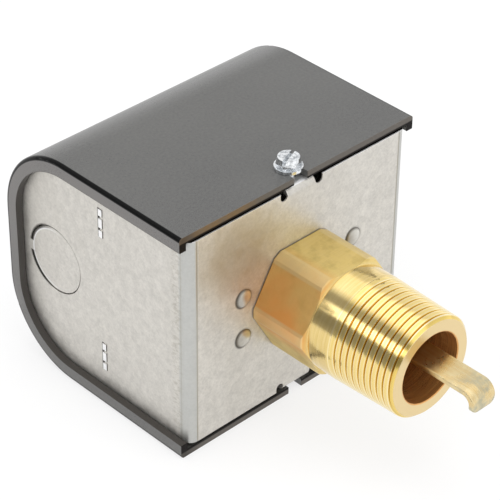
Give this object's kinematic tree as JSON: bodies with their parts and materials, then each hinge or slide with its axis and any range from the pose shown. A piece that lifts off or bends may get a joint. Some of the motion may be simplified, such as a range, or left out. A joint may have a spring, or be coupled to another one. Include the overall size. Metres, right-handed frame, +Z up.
{
  "type": "paddle flow switch",
  "caption": "Flow switch with a threaded brass pipe fitting, a hooked brass paddle arm on a pivot, and a zinc sheet switch box under a dark wrap-round cover.",
  "frame": {"origin": "on the pipe thread's axis, at the shoulder where the plain shank leaves the hexagon", "axes": "-Y runs out of the fitting along the thread, +Y runs into the switch box, X runs across the box and Z is up, square to the box's screwed top face"},
  "size_m": [0.091, 0.1459, 0.0804],
  "materials": {
    "dark_paint": "satin dark paint on heavy steel sheet",
    "zinc_sheet": "bright zinc-plated steel sheet, faintly mottled",
    "bright_zinc": "bright zinc-plated steel",
    "brass_body": "turned brass",
    "brass_strip": "pale rolled brass strip",
    "stainless": "ground stainless steel",
    "bronze_bellows": "phosphor bronze bellows",
    "spring_steel": "plain spring steel",
    "fibre_sheet": "grey-brown insulating fibre sheet",
    "black_moulding": "black phenolic moulding",
    "red_moulding": "moulded plunger",
    "terminal_brass": "stamped brass",
    "ground_green": "green-finished steel screw"
  },
  "bodies": {
    "base": {"base_frame": "zinc_sheet", "frame_rivets": "zinc_sheet", "fitting_body": "brass_body", "body_locknut": "brass_body", "mechanism_bracket": "zinc_sheet", "pivot_ring": "brass_body", "pivot_pin": "stainless", "bellows_collar": "brass_body", "bellows": "bronze_bellows", "switch_plate": "zinc_sheet", "insulator_sheet": "fibre_sheet", "switch_case": "black_moulding", "leaf_pin": "stainless", "switch_screws": "bright_zinc", "terminal_lugs": "terminal_brass", "terminal_screws": "bright_zinc", "ground_screw": "ground_green"},
    "cover": {"cover": "dark_paint"},
    "cover_screw": {"cover_screw": "bright_zinc"},
    "arm": {"paddle_arm": "brass_strip", "arm_hub": "brass_body", "arm_rivets": "brass_strip", "arm_stem": "stainless", "bellows_cap": "brass_body", "operating_lever": "zinc_sheet", "lever_nut": "bright_zinc", "range_spring": "spring_steel"},
    "spring_seat": {"spring_seat": "brass_body"},
    "range_screw": {"range_screw": "bright_zinc"},
    "switch_leaf": {"switch_leaf": "spring_steel"},
    "switch_plunger": {"switch_plunger": "red_moulding"}
  },
  "joints": [
    {"name": "cover_slide", "type": "slide", "parent": "base", "child": "cover", "axis": [0, 1, 0], "range_m": [0, 0.09]},
    {"name": "cover_screw_turn", "type": "hinge", "parent": "base", "child": "cover_screw", "pos_m": [0, 0.0257, 0.0383], "axis": [0, 0, 1], "continuous": true},
    {"name": "paddle_swing", "type": "hinge", "parent": "base", "child": "arm", "pos_m": [0, 0.012, 0], "axis": [1, 0, 0], "range_deg": [0, 6], "stiffness_Nm_per_rad": 1, "springref_deg": -6.88, "deforming": ["range_spring", "bellows"]},
    {"name": "seat_slide", "type": "slide", "parent": "base", "child": "spring_seat", "axis": [0, 0, 1], "range_m": [-0.0014, 0.0014], "deforming": ["range_spring"]},
    {"name": "range_screw_turn", "type": "hinge", "parent": "spring_seat", "child": "range_screw", "pos_m": [0, 0.0511, 0.0303], "axis": [0, 0, 1], "range_deg": [-720, 720]},
    {"name": "leaf_swing", "type": "hinge", "parent": "base", "child": "switch_leaf", "pos_m": [-0.02, 0.06395, 0.014], "axis": [0, -1, 0], "range_deg": [0, 13.3]},
    {"name": "plunger_slide", "type": "slide", "parent": "base", "child": "switch_plunger", "axis": [0, 0, 1], "range_m": [0, 0.0014]}
  ],
  "couplings": [
    {"joint": "leaf_swing", "follows": "paddle_swing", "ratio": 2.2},
    {"joint": "plunger_slide", "follows": "paddle_swing", "m_per_rad": 0.0124},
    {"joint": "range_screw_turn", "follows": "seat_slide", "rad_per_m": 8975.9}
  ]
}
